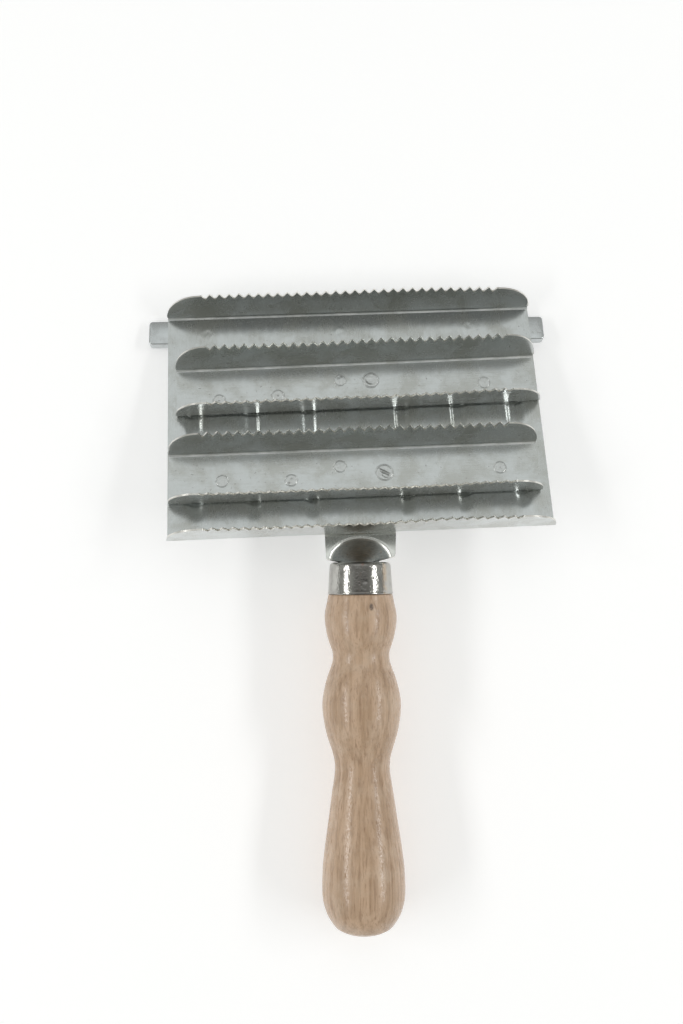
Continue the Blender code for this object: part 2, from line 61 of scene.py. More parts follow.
# ---------------------------------------------------------------------------------------------
# Back plate: one blank of bright tinned steel, with six grooves pressed in its floor and both
# long edges folded up into rows of nibbled teeth. Three spot welds hold the bar behind it.
# ---------------------------------------------------------------------------------------------

AIR = 0.3 * MM                      # kept by the frame between pieces that touch
SEAT = 0.02 * MM                    # kept here between them


def places(node):
    """The different corner points of a node of the frame."""
    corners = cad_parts[node].data.vertices
    return {tuple(round(value, 7) for value in corner.co) for corner in corners}


def bar_face_normal():
    """The direction out of the comb's toothed side, from the flat top of the knocker bar."""
    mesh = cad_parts["knocker_bar"].data
    face = max((p for p in mesh.polygons if p.normal.z > 0), key=lambda p: p.area)
    return face.normal


LEAN = bar_face_normal()
HEAD_TURN = Matrix.Rotation(-math.atan2(LEAN.y, LEAN.z), 4, "X")


def head_box(node, turn=HEAD_TURN):
    """A node's lowest and highest corners in axes that lie along the head."""
    spots = [turn.inverted() @ Vector(place) for place in places(node)]
    return (Vector([min(spot[axis] for spot in spots) for axis in range(3)]),
            Vector([max(spot[axis] for spot in spots) for axis in range(3)]))


def middle(low, high):
    return (low + high) / 2


plate_low, plate_high = head_box("back_plate")
upper_low = head_box("upper_tooth_channel")[0]
bar_low, bar_high = head_box("knocker_bar")
SHEET = upper_low.z - bar_high.z - 2 * AIR
PLATE_MIDDLE = middle(plate_low, plate_high)
PLATE_TOP = upper_low.z - AIR
HEAD = HEAD_TURN @ Matrix.Translation((PLATE_MIDDLE.x, PLATE_MIDDLE.y, PLATE_TOP))


class Link:
    """One output of a finish's nodes, with Python's arithmetic for the numbers it carries."""

    def __init__(self, finish, socket):
        self.finish, self.socket = finish, socket

    def math(self, operation, *values):
        return self.finish.node("ShaderNodeMath", {"operation": operation}, dict(enumerate(values)))

    def __add__(self, other):
        return self.math("ADD", self, other)

    def __sub__(self, other):
        return self.math("SUBTRACT", self, other)

    def __rsub__(self, other):
        return self.math("SUBTRACT", other, self)

    def __mul__(self, other):
        return self.math("MULTIPLY", self, other)

    def __truediv__(self, other):
        return self.math("DIVIDE", self, other)

    def __pow__(self, other):
        return self.math("POWER", self, other)

    def __abs__(self):
        return self.math("ABSOLUTE", self)

    __radd__, __rmul__ = __add__, __mul__

    def rise(self, low, high):
        """0 below low, 1 above high and a smooth step between them; it falls where low > high."""
        return self.finish.node("ShaderNodeMapRange", {"interpolation_type": "SMOOTHSTEP"},
                                {"Value": self, "From Min": low, "From Max": high})


class Finish:
    """A surface finish that is built up on one shader; the room's light is built in the same way."""

    def __init__(self, name, library=bpy.data.materials, shader="Principled BSDF"):
        self.material = library.new(name)
        self.material.use_nodes = True
        self.tree = self.material.node_tree
        self.shader = self.tree.nodes[shader]

    def node(self, kind, settings=None, sockets=None, output=0):
        """Adds a node: its settings first, then the values or links of its sockets."""
        made = self.tree.nodes.new(kind)
        for name, value in (settings or {}).items():
            setattr(made, name, value)
        for name, value in (sockets or {}).items():
            if isinstance(value, Link):
                self.tree.links.new(value.socket, made.inputs[name])
            else:
                made.inputs[name].default_value = value
        return Link(self, made.outputs[output])

    def at(self, place, stretch=(1, 1, 1)):
        """Coordinates in millimetres in a piece's own axes, squeezed along each of them."""
        back = place.inverted()
        spot = self.node("ShaderNodeTexCoord", output="Object")
        own = self.node("ShaderNodeMapping", {"vector_type": "POINT"},
                        {"Vector": spot, "Location": back.translation / MM,
                         "Rotation": back.to_euler(), "Scale": (1 / MM,) * 3})
        return self.node("ShaderNodeVectorMath", {"operation": "MULTIPLY"}, {0: own, 1: stretch})

    def grain(self, where, scale, detail=3.0, roughness=0.55, distortion=0.0):
        return self.node("ShaderNodeTexNoise", None, {"Vector": where, "Scale": scale, "Detail": detail,
                                                      "Roughness": roughness, "Distortion": distortion})

    def parts(self, where):
        """The three numbers of a vector."""
        node = self.node("ShaderNodeSeparateXYZ", None, {"Vector": where}).socket.node
        return [Link(self, socket) for socket in node.outputs]

    def mix(self, share, first, second):
        """A colour between two colours."""
        first, second = [color if isinstance(color, Link) else (*color, 1.0)
                         for color in (first, second)]
        return self.node("ShaderNodeMix", {"data_type": "RGBA"}, {0: share, 6: first, 7: second}, 2)

    def bump(self, height, depth, below=None):
        """A surface normal from a height of 0 to 1 that stands for a depth in metres."""
        sockets = {"Height": height, "Distance": depth, "Strength": 1.0}
        if below:
            sockets["Normal"] = below
        return self.node("ShaderNodeBump", None, sockets)

    def set(self, **values):
        for name, value in values.items():
            socket = self.shader.inputs[name.replace("_", " ")]
            if isinstance(value, Link):
                self.tree.links.new(value.socket, socket)
            else:
                socket.default_value = (*value, 1.0) if isinstance(value, tuple) else value
        return self.material


def tinned(name, place, bright=(0.60, 0.625, 0.62), dull=(0.47, 0.475, 0.44), along=(0.06, 1.0, 1.0)):
    """Bright tinned sheet: cloudy tinning, fine rolling lines, a few hair scratches and specks.

    Its folds and the tips of its teeth carry a painted highlight: their colour is lightened where light
    would catch them.
    """
    finish = Finish(name)
    own = finish.at(place)
    painted_sheen = finish.node("ShaderNodeAttribute", {"attribute_name": "painted_sheen"}, output="Fac")
    clouds = finish.grain(own, 0.09, 4.0, 0.6, 0.4).rise(0.36, 0.68)
    lines = finish.grain(finish.at(place, along), 2.6, 4.0, 0.7)
    fine = finish.grain(own, 3.2, 2.0)
    swirl = finish.grain(finish.at(place, (0.5, 0.22, 0.5)), 0.5, 1.0, 0.5, 1.2)
    scratch = abs(swirl - 0.5).rise(0.002, 0.0004) * finish.grain(own, 0.3, 1.0).rise(0.54, 0.6)
    specks = finish.grain(own, 1.3, 0.0).rise(0.79, 0.83)
    mottle = finish.grain(own, 0.9, 3.0, 0.6)
    color = finish.mix(clouds * 0.7 + (lines - 0.5) * 0.8 + (mottle - 0.5) * 0.5, bright, dull)
    color = finish.mix(specks * 0.4, color, (0.27, 0.26, 0.24))
    color = finish.mix(scratch * 0.4, color, (0.8, 0.8, 0.78))
    # painted highlight on the folds and tooth tips, in patches
    painted_sheen_share = painted_sheen * (0.15 + finish.grain(own, 0.12, 2.0).rise(0.4, 0.65) * 0.8)
    color = finish.mix(painted_sheen_share, color, (0.86, 0.865, 0.85))
    rough = 0.22 + clouds * 0.07 + (lines - 0.5) * 0.12 + specks * 0.1 + scratch * 0.1 + painted_sheen * 0.15
    wave = finish.bump(finish.grain(own, 0.10, 1.0), 0.05 * MM)
    normal = finish.bump(lines * 0.6 + fine * 0.3 - scratch * 0.4, 0.0025 * MM, wave)
    return finish.set(Base_Color=color, Metallic=1.0, Roughness=rough, Normal=normal)


def cut_edge(name, place):
    """Sheared edge of the sheet: bare steel dragged into fine lines by the shears, its colour partly
    lightened as a painted highlight.
    """
    finish = Finish(name)
    drag = finish.grain(finish.at(place, (3.0, 3.0, 0.8)), 2.0, 3.0)
    # the lighter of these colours is a painted highlight along the cut edge
    color = finish.mix(drag.rise(0.3, 0.7), (0.86, 0.855, 0.82), (0.60, 0.58, 0.53))
    normal = finish.bump(drag, 0.02 * MM)
    return finish.set(Base_Color=color, Metallic=1.0, Roughness=0.24 + drag * 0.15, Normal=normal)


TOOTH_PITCH = 3.24 * MM
TOOTH_DEPTH = 2.7 * MM
TIP_BLUNT = 0.05                    # share of a tooth's depth lost to its rounded tip
TOOTH_LUCK = 0.15 * MM              # how far a tip may stand out of line
NOTCHES = 31
COLUMNS_PER_TOOTH = 8
END_DROP = 0.9 * MM                 # of a row's plain ends below its tips
BEND_RADIUS = 1.15 * MM             # at the middle of the sheet
BEND_ROWS = 10
FLANGE_ROWS = 10
SWAY = 0.5 * MM                     # how far a row's edge wanders from a straight line
SWAY_LENGTH = 26 * MM
EDGE_EASE = 0.07 * MM

PAINTED_SHEEN_BY_STRETCH = {                         # painted highlight along each stretch of the blank's section, 0 to 1
    "floor": lambda share: 0.0,
    "bend": lambda share: math.sin(math.pi * share * 1.25) ** 0.6 if share < 0.8 else 0.0,
    "flange": lambda share: 0.35 * max(0.0, share * 5 - 4),
}


class ToothedSheet:
    """A blank that is folded up along both long edges; X lies along its folds, its floor is at z = 0."""

    def __init__(self, half_length, width, height, flare, end_round, seed):
        self.half, self.width, self.height, self.flare = half_length, width, height, flare
        self.end_width, self.end_rise = end_round
        self.turn = math.pi / 2 - flare
        self.floor = width / 2 - BEND_RADIUS * math.tan(self.turn / 2)
        chance = random.Random(seed)
        self.uneven = {(side, tooth): chance.uniform(-1, 1)
                       for side in (-1, 1) for tooth in range(-NOTCHES, NOTCHES + 1)}
        self.crown = {-1: 0.0, 1: 0.0}

    def stations(self, floor_rows):
        """Rows of the blank from the near edge to the far one, as (side, stretch, share)."""
        flange = [("flange", step / FLANGE_ROWS) for step in range(FLANGE_ROWS, 0, -1)]
        bend = [("bend", step / BEND_ROWS) for step in range(BEND_ROWS, 0, -1)]
        near = [(-1, *row) for row in flange + bend]
        across = [(1, "floor", share) for share in floor_rows]
        far = [(1, *row) for row in (flange + bend)[::-1]]
        return near + across + far

    def edge_height(self, x, side):
        """Height of the toothed edge over the floor."""
        row_end = TOOTH_PITCH * NOTCHES / 2
        height = self.height + self.crown[side] * (1 - (x / self.half) ** 2)
        past = (abs(x) - (self.half - self.end_width)) / self.end_width
        if past > 0:
            height -= END_DROP + (self.end_rise - END_DROP) * (1 - math.sqrt(max(0.0, 1 - past ** 2)))
            return max(height, BEND_RADIUS * 1.05)
        if abs(x) >= row_end:
            return height - END_DROP
        tooth = x / TOOTH_PITCH + 0.5
        share = min(abs(tooth % 1 - 0.5) * 2, 1 - TIP_BLUNT)
        luck = self.uneven[side, round(tooth)] * TOOTH_LUCK
        return height - TOOTH_DEPTH * (1 - share) + luck * share

    def shape(self, x, row):
        """The place of a point of the blank once it is folded."""
        side, stretch, share = row
        if stretch == "floor":
            return Vector((x, (share * 2 - 1) * self.floor, 0))
        angle = self.turn * (share if stretch == "bend" else 1)
        y = self.floor + BEND_RADIUS * math.sin(angle)
        z = BEND_RADIUS * (1 - math.cos(angle))
        if stretch == "flange":
            climb = (self.edge_height(x, side) - z) / math.cos(self.flare)
            y += climb * share * math.sin(self.flare)
            z += climb * share * math.cos(self.flare)
            sway = noise.noise((x / SWAY_LENGTH, side * 3.7, self.half / MM)) * SWAY
            y += sway * share ** 2
        return Vector((x, side * y, z))

    def build(self, floor_rows, press=None):
        rows = self.stations(floor_rows)
        step = TOOTH_PITCH / COLUMNS_PER_TOOTH
        columns = 2 * int(self.half / step)
        bm = bmesh.new()
        bmesh.ops.create_grid(bm, x_segments=columns, y_segments=len(rows) - 1, size=1.0)
        painted_sheen = bm.verts.layers.float.new("painted_sheen")
        for vertex in bm.verts:
            x = round(vertex.co.x * columns / 2) * step
            row = rows[round((vertex.co.y + 1) / 2 * (len(rows) - 1))]
            if abs(vertex.co.x) > 1 - 1e-4:
                x = math.copysign(self.half, x)
            start = self.half - self.end_width
            if abs(x) > start:
                swing = math.sin((abs(x) - start) / self.end_width * math.pi / 2)
                x = math.copysign(start + self.end_width * swing, x)
            # how much painted highlight this row of the blank carries
            vertex[painted_sheen] = PAINTED_SHEEN_BY_STRETCH[row[1]](row[2])
            vertex.co = self.shape(x, row)
            if press:
                press(vertex.co, row[1])
        bmesh.ops.recalc_face_normals(bm, faces=bm.faces[:])
        if sum(face.normal.z for face in bm.faces) < 0:
            bmesh.ops.reverse_faces(bm, faces=bm.faces[:])
        return bm


def add_piece(name, bm, place, finishes, nodes):
    """Makes a mesh an object with its place in its vertices, puts it under the root body and hides the
    frame's nodes that it stands for.
    """
    bmesh.ops.transform(bm, matrix=place, verts=bm.verts[:])
    mesh = bpy.data.meshes.new(name)
    bm.to_mesh(mesh)
    bm.free()
    mesh.shade_smooth()
    piece = bpy.data.objects.new(name, mesh)
    bpy.context.scene.collection.objects.link(piece)
    for finish in finishes:
        mesh.materials.append(finish)
    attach(piece, "root")
    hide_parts(*nodes)
    return piece


def thicken(piece, thickness, offset=0.0):
    wall = piece.modifiers.new("sheet", "SOLIDIFY")
    wall.thickness = thickness
    wall.offset = offset
    wall.use_even_offset = True
    wall.use_rim = True
    wall.material_offset_rim = 1


def ease_edges(piece, width, segments=2, angle=50):
    edge = piece.modifiers.new("eased_edges", "BEVEL")
    edge.width = width
    edge.segments = segments
    edge.limit_method = "ANGLE"
    edge.angle_limit = math.radians(angle)
    edge.harden_normals = True


FLARE = math.radians(3.0)
ROW_CROWN = 0.7 * MM                # the far row stands higher in its middle
GROOVE_HALF = 3.1 * MM
GROOVE_DEPTH = 0.65 * MM
STEEP_WALL = 1.7 * MM               # run of the wall on the bracket's side
SOFT_WALL = 2.6 * MM
GROOVE_CENTRES = (15.7 * MM, 34.7 * MM, 53.7 * MM)      # on both sides of the bracket
GROOVE_ENDS = (-28.2 * MM, 14.8 * MM)                   # of its centre line, along Y
WELDS = ((-49.2 * MM, 33.6 * MM, 2.3 * MM), (-3.6 * MM, 32.5 * MM, 2.0 * MM),
         (41.0 * MM, 33.6 * MM, 2.2 * MM))              # x, y and radius
WELD_ROUGHNESS = 0.07 * MM
WELD_REACH = 1.4                    # of its mark, in radii


def smooth(share):
    share = min(max(share, 0.0), 1.0)
    return share * share * (3 - 2 * share)


def pressed_floor(spot, stretch):
    """Presses the grooves and the weld marks in the plate's floor."""
    if stretch != "floor":
        return
    for centre in GROOVE_CENTRES:
        offset = spot.x - math.copysign(centre, spot.x)
        past = max(GROOVE_ENDS[0] - spot.y, 0, spot.y - GROOVE_ENDS[1])
        reach = math.hypot(offset, past)
        if reach < GROOVE_HALF:
            run = SOFT_WALL if (offset < 0) == (spot.x < 0) else STEEP_WALL
            spot.z -= GROOVE_DEPTH * smooth((GROOVE_HALF - reach) / run)
    for x, y, radius in WELDS:
        reach = math.hypot(spot.x - x, spot.y - y) / radius
        if reach < WELD_REACH:
            rough = noise.noise(Vector((spot.x, spot.y, 0)) / (0.9 * MM))
            ring = math.exp(-((reach - 0.8) / 0.25) ** 2)
            spot.z += WELD_ROUGHNESS * (ring * 0.5 + rough * max(0.0, 1.2 - reach))


PLATE_WIDTH = plate_high.x - plate_low.x
PLATE_HEIGHT = plate_high.z - PLATE_TOP + SHEET / 2 - SEAT
PLATE_SPAN = (plate_high.y - plate_low.y) - 2 * (PLATE_HEIGHT * math.tan(FLARE)) - SHEET
plate_rows = [step / 24 for step in range(22)]
plate_rows += [0.9 + step / 150 for step in range(16)]  # finer at the welds
back = ToothedSheet(PLATE_WIDTH / 2, PLATE_SPAN, PLATE_HEIGHT, FLARE, (12.1 * MM, 12.3 * MM), 3)
back.crown[1] = ROW_CROWN
PLATE = HEAD @ Matrix.Translation((0, 0, -SHEET / 2))
plate_steel = tinned("plate_tinning", HEAD, along=(1.0, 0.08, 1.0))
edge_steel = cut_edge("sheared_edge", HEAD)
plate = add_piece("plate_with_two_rows", back.build(plate_rows, pressed_floor), PLATE,
                  [plate_steel, edge_steel], ["back_plate"])
thicken(plate, SHEET)
ease_edges(plate, EDGE_EASE)

# ---------------------------------------------------------------------------------------------
# Tooth channels: two U-shaped strips of the same tinned steel with a toothed row on each leg,
# laid on the plate and riveted through it.
# ---------------------------------------------------------------------------------------------

CHANNEL_FLARE = math.radians(7.5)
CHANNEL_END_ROUND = (10.4 * MM, 12.3 * MM)
CHANNEL_TRIM = 0.05 * MM            # kept below the frame's own height
UPPER_YAW = math.radians(0.5)
channel_rows = [step / 16 for step in range(17)]


def add_channel(name, node, yaw, seed):
    low, high = head_box(node)
    centre = HEAD.inverted() @ (HEAD_TURN @ middle(low, high))
    length = high.x - low.x
    height = high.z - low.z - SHEET / 2 - CHANNEL_TRIM
    across = high.y - low.y - length * abs(math.sin(yaw))
    span = across - 2 * height * math.tan(CHANNEL_FLARE) - SHEET
    strip = ToothedSheet(length / 2, span, height, CHANNEL_FLARE, CHANNEL_END_ROUND, seed)
    place = HEAD @ Matrix.Translation((centre.x, centre.y, SEAT + SHEET / 2))
    place = place @ Matrix.Rotation(yaw, 4, "Z")
    steel = tinned(name + "_tinning", place)
    channel = add_piece(name, strip.build(channel_rows), place, [steel, edge_steel], [node])
    thicken(channel, SHEET)
    ease_edges(channel, EDGE_EASE)


add_channel("channel_with_rows_2_and_3", "upper_tooth_channel", UPPER_YAW, 11)
add_channel("channel_with_rows_4_and_5", "lower_tooth_channel", 0.0, 12)

# ---------------------------------------------------------------------------------------------
# Rivets: ten plain steel rivets, hammered nearly flush in the channels and headed over behind
# the plate or the bracket. No two were struck alike.
# ---------------------------------------------------------------------------------------------

RIVET_STEPS = 48
STRIKE = 0.2 * MM                   # height that a full blow raises or sinks
JITTER = 0.05 * MM                  # of a head's hammered surface
HEAD_RISE = 0.09 * MM
MOAT = 0.06 * MM                    # depth of the struck ring round the head
HEAD_RIM = ((0.84, HEAD_RISE * 0.6), (0.89, -MOAT), (0.93, 0.04 * MM), (0.98, 0.06 * MM),
            (1.0, 0.0), (0.99, -0.1 * MM))              # share of its radius, height
SHANK_RADIUS = 1.2 * MM
TAIL_RADIUS = 2.0 * MM
TAIL_HEIGHT = 0.5 * MM
TAIL_DOME = ((1.0, 0.48 * MM), (0.97, 0.3 * MM), (0.8, 0.1 * MM), (0.45, 0.02 * MM), (0.0, 0.0))


def turned(profile, steps):
    """Spins an outline of (radius, height) about Z; an outline that stays off the axis is closed."""
    bm = bmesh.new()
    spots = [bm.verts.new((radius, 0, height)) for radius, height in profile]
    loop = spots if profile[0][0] == 0 and profile[-1][0] == 0 else spots + spots[:1]
    edges = [bm.edges.new(pair) for pair in zip(loop, loop[1:])]
    bmesh.ops.spin(bm, geom=spots + edges, cent=(0, 0, 0), axis=(0, 0, 1), angle=math.tau,
                   steps=steps, use_merge=True, use_duplicate=False)
    bmesh.ops.remove_doubles(bm, verts=bm.verts[:], dist=0.001 * MM)
    bmesh.ops.recalc_face_normals(bm, faces=bm.faces[:])
    return bm


def rivet_steel(name):
    """Rivet steel: pale where it was burnished, with painted shade darkening the struck ring and the
    struck pits.
    """
    finish = Finish(name)
    own = finish.at(HEAD)
    recess_shade = (finish.node("ShaderNodeAttribute", {"attribute_name": "recess_shade"}, output="Fac")
             * finish.grain(own, 0.4, 2.0).rise(0.3, 0.62))
    fine = finish.grain(own, 1.6, 3.0)
    color = finish.mix(fine.rise(0.3, 0.7), (0.61, 0.63, 0.62), (0.52, 0.53, 0.515))
    # painted shade in the struck ring round the head and in its pits
    color = finish.mix(recess_shade * 0.6, color, (0.2, 0.195, 0.18))
    normal = finish.bump(fine, 0.006 * MM)
    return finish.set(Base_Color=color, Metallic=1.0, Roughness=0.24 + recess_shade * 0.25, Normal=normal)


def struck(look, share, angle):
    """Height in the middle of a head that was struck in one of several ways, and the painted shade in
    its pits.
    """
    x, y = share * math.cos(angle), share * math.sin(angle)
    if look == "dot":
        dent = math.exp(-(share / 0.13) ** 2)
        return -0.25 * dent, dent
    if look == "nub":
        nub = math.exp(-((x - 0.05) ** 2 + (y - 0.1) ** 2) / 0.05)
        pit = math.exp(-((x + 0.35) ** 2 + (y + 0.4) ** 2) / 0.03)
        return 0.6 * nub - 0.3 * pit, pit
    if look == "gouge":
        along, across = x * 0.86 - y * 0.5, x * 0.5 + y * 0.86
        ridge = math.exp(-((across - 0.02) / 0.13) ** 2) * math.exp(-(along / 0.6) ** 4)
        hollow = math.exp(-((across + 0.27) / 0.16) ** 2) * math.exp(-((along - 0.25) / 0.35) ** 2)
        return 1.3 * ridge - 1.2 * hollow, hollow
    if look == "crescent":
        crest = math.exp(-((share - 0.62) / 0.13) ** 2) * max(0.0, math.cos(angle + 2.2)) ** 2
        return 0.7 * crest - 0.25 * math.exp(-(share / 0.3) ** 2), 0.0
    return 0.12 * math.cos(share * 3), 0.0


def add_rivet(node, look, wobble, seed):
    low, high = head_box(node)
    centre = HEAD.inverted() @ (HEAD_TURN @ middle(low, high))
    radius = (high.x - low.x) / 2
    seat = 2 * SEAT + SHEET
    foot = low.z - PLATE_TOP
    tail = min(radius, TAIL_RADIUS)
    outline = [(radius * step / 20, HEAD_RISE) for step in range(17)]
    outline += [(radius * share, height) for share, height in HEAD_RIM]
    outline = [(reach, seat + height) for reach, height in outline]
    outline += [(SHANK_RADIUS, seat - 0.1 * MM), (SHANK_RADIUS, foot + TAIL_HEIGHT)]
    outline += [(tail * share, foot + height) for share, height in TAIL_DOME]
    bm = turned(outline, RIVET_STEPS)
    layer = bm.verts.layers.float.new("recess_shade")
    for vertex in bm.verts:
        share = math.hypot(vertex.co.x, vertex.co.y) / radius
        angle = math.atan2(vertex.co.y, vertex.co.x)
        if vertex.co.z > seat - 0.2 * MM:
            ring = math.exp(-((share - 0.89) / 0.05) ** 2)
            fade = 0.55 + 0.45 * noise.noise((math.cos(angle), math.sin(angle), seed))
            lift, pit_shade = struck(look, share, angle) if share < 0.82 else (0.0, 0.0)
            jitter = noise.noise(Vector((vertex.co.x, vertex.co.y, seed * MM)) / (0.8 * MM))
            vertex.co.z += lift * STRIKE + wobble * jitter * JITTER * min(1.0, 3 * (1.02 - share))
            # painted shade: the struck ring round the head, broken into arcs, and the pits in it
            vertex[layer] = min(1.0, ring * fade + 0.9 * pit_shade)
        vertex.co.x *= 1 + 0.05 * wobble * math.sin(2 * angle + seed)
    place = HEAD @ Matrix.Translation((centre.x, centre.y, 0))
    add_piece("struck_" + node, bm, place, [rivet_metal], [node])


rivet_metal = rivet_steel("struck_rivet")
add_rivet("upper_rivet_1", "dot", 0.3, 1)
add_rivet("upper_rivet_2", "dot", 0.6, 2)
add_rivet("upper_rivet_3", "plain", 0.8, 3)
add_rivet("upper_rivet_4", "crescent", 0.5, 4)
add_rivet("upper_rivet_5", "plain", 0.5, 5)
add_rivet("lower_rivet_1", "plain", 0.6, 6)
add_rivet("lower_rivet_2", "nub", 0.8, 7)
add_rivet("lower_rivet_3", "plain", 0.4, 8)
add_rivet("lower_rivet_4", "gouge", 1.0, 9)
add_rivet("lower_rivet_5", "dot", 0.3, 10)

# ---------------------------------------------------------------------------------------------
# Knocker bar: a length of flat steel bar behind the far row, whose two ends stand out as lugs.
# It is tinned like the plate, but duller, and its corners are worn from being knocked clean.
# ---------------------------------------------------------------------------------------------

BAR_YAW = math.radians(-1.2)
BAR_EDGE = 0.45 * MM
BAR_CORNER = 1.3 * MM
BAR_UNEVEN = 0.06 * MM
BAR_WAVE = 9 * MM
LUG_WEAR = (7.0, 0.5)               # millimetres from an end where the wear starts and is full


def bar_steel(name, place, half_length):
    """Tinned bar, with the tinning nicked off its knocked ends."""
    finish = Finish(name)
    own = finish.at(place)
    lines = finish.grain(finish.at(place, (0.05, 1.0, 1.0)), 2.4, 4.0, 0.65)
    clouds = finish.grain(own, 0.2, 4.0, 0.6).rise(0.35, 0.7)
    along = finish.parts(own)[0]
    worn = abs(along).rise(*[half_length / MM - inward for inward in LUG_WEAR])
    nicks = finish.grain(own, 0.9, 3.0).rise(0.62, 0.72) * worn
    color = finish.mix(clouds * 0.7 + (lines - 0.5) * 0.3, (0.61, 0.64, 0.645), (0.49, 0.505, 0.50))
    color = finish.mix(nicks * 0.5, color, (0.36, 0.36, 0.34))
    rough = 0.2 + clouds * 0.08 + (lines - 0.5) * 0.1 + nicks * 0.12
    normal = finish.bump(lines * 0.4 - nicks * 0.9 + clouds * 0.4, 0.008 * MM)
    return finish.set(Base_Color=color, Metallic=1.0, Roughness=rough, Normal=normal)


BAR_LENGTH, BAR_WIDTH, BAR_THICKNESS = bar_high - bar_low
bar_middle = HEAD.inverted() @ (HEAD_TURN @ middle(bar_low, bar_high))
bm = bmesh.new()
bmesh.ops.create_cube(bm, size=1.0, matrix=Matrix.Diagonal((BAR_LENGTH, BAR_WIDTH, BAR_THICKNESS, 1)))
long_edges = [e for e in bm.edges if abs(e.verts[0].co.x - e.verts[1].co.x) > BAR_LENGTH / 2]
bmesh.ops.subdivide_edges(bm, edges=long_edges, cuts=60, use_grid_fill=True)
upright = [e for e in bm.edges if abs(e.verts[0].co.z - e.verts[1].co.z) > BAR_THICKNESS / 2
           and abs(e.verts[0].co.x) > BAR_LENGTH / 2 - MM]
bmesh.ops.bevel(bm, geom=upright, offset=BAR_CORNER, affect="EDGES", segments=6, profile=0.5,
                material=-1)
rim = [e for e in bm.edges if e.is_manifold and e.calc_face_angle(0) > math.radians(60)]
bmesh.ops.bevel(bm, geom=rim, offset=BAR_EDGE, affect="EDGES", segments=4, profile=0.5, material=-1)
bmesh.ops.recalc_face_normals(bm, faces=bm.faces[:])
for vertex in bm.verts:
    vertex.co += vertex.normal * noise.noise(vertex.co / BAR_WAVE) * BAR_UNEVEN
lift = SHEET + SEAT + BAR_THICKNESS / 2
BAR = HEAD @ Matrix.Translation((bar_middle.x, bar_middle.y, -lift))
BAR = BAR @ Matrix.Rotation(BAR_YAW, 4, "Z")
add_piece("bar_with_lugs", bm, BAR, [bar_steel("bar_tinning", BAR, BAR_LENGTH / 2)],
          ["knocker_bar"])

# ---------------------------------------------------------------------------------------------
# Tang bracket: a strip riveted flat behind the plate. Its near end is pressed into a deep scoop
# and rolled into an open tang, which goes through the ferrule into the handle.
# ---------------------------------------------------------------------------------------------

ferrule_spots = [Vector(place) for place in places("ferrule")]
handle_spots = [Vector(place) for place in places("handle")]
ferrule_heart = sum(ferrule_spots, Vector()) / len(ferrule_spots)
handle_heart = sum(handle_spots, Vector()) / len(handle_spots)
OUTWARD = (handle_heart - ferrule_heart).normalized()
ACROSS = (Vector((1, 0, 0)) - OUTWARD * OUTWARD.x).normalized()
UP = OUTWARD.cross(ACROSS)
MOUTH = ferrule_heart + OUTWARD * min((spot - ferrule_heart).dot(OUTWARD) for spot in ferrule_spots)
AXIS = Matrix.Translation(MOUTH) @ Matrix((ACROSS, UP, OUTWARD)).transposed().to_4x4()

bracket_low, bracket_high = head_box("tang_bracket")
bracket_far = HEAD.inverted() @ (HEAD_TURN @ bracket_high)
BRACKET_SHEET = 1.2 * MM
BRACKET_HALF = (bracket_high.x - bracket_low.x) / 2
BRACKET_X = middle(bracket_low, bracket_high).x - PLATE_MIDDLE.x
BRACKET_TOP = -SHEET - SEAT
BRACKET_FAR = bracket_far.y
NEAR_FOLD = -PLATE_SPAN / 2
TIP = NEAR_FOLD - 8.3 * MM          # the tab's free edge
TIP_HALF = 10.8 * MM                # on the right, where it tapers
TIP_CORNER = 0.9 * MM
SCOOP_HALF = 9.8 * MM
SCOOP_REACH = 7.2 * MM
SCOOP_DEPTH = 9.4 * MM
SCOOP_LIP = 0.25 * MM
SCOOP_ROUND = 0.22                  # rounds the point of the half cone
TANG_INNER = 5.0 * MM
TANG_WRAP = math.radians(88)        # each way from its lowest line
TANG_START = 0.9 * MM               # inside the scoop, ahead of the tab's free edge
TANG_RUN = 6.0 * MM                 # into the ferrule
BRACKET_COLUMNS = 120
FINE_START = NEAR_FOLD + 2 * MM     # where the strip's rows close up

mouth = HEAD.inverted() @ MOUTH
fall = HEAD.inverted().to_3x3() @ OUTWARD


def scoop_depth(x, y):
    """How far the scoop is pressed below the tab: a half cone with a rounded lip and floor."""
    reach = math.hypot((x - mouth.x) / SCOOP_HALF, (y - mouth.y) / SCOOP_REACH)
    cone = SCOOP_DEPTH * (1 - math.hypot(reach, SCOOP_ROUND) / math.hypot(1, SCOOP_ROUND))
    return SCOOP_LIP * math.log1p(math.exp(min(cone / SCOOP_LIP, 60)))


def tab_shape(u, y):
    """The place of a point of the strip: u runs from -1 at its left edge to 1 at its right edge."""
    half = BRACKET_HALF
    if y < NEAR_FOLD and u > 0:
        half += (TIP_HALF - BRACKET_HALF) * (NEAR_FOLD - y) / (NEAR_FOLD - TIP)
    to_tip = y - TIP
    if to_tip < TIP_CORNER:
        half -= TIP_CORNER - math.sqrt(max(0.0, TIP_CORNER ** 2 - (TIP_CORNER - to_tip) ** 2))
    x = BRACKET_X + u * half
    return Vector((x, y, BRACKET_TOP - scoop_depth(x, y)))


def tang_shape(u, y):
    """The place of a point of the rolled tang, which tapers with the ferrule's hole."""
    run = (mouth.y - y) / abs(fall.y)
    centre = mouth + fall * run
    radius = TANG_INNER * (1 + 0.05 * smooth(-run / TANG_START))
    return Vector((centre.x + radius * math.sin(u * TANG_WRAP), y,
                   centre.z - radius * math.cos(u * TANG_WRAP)))


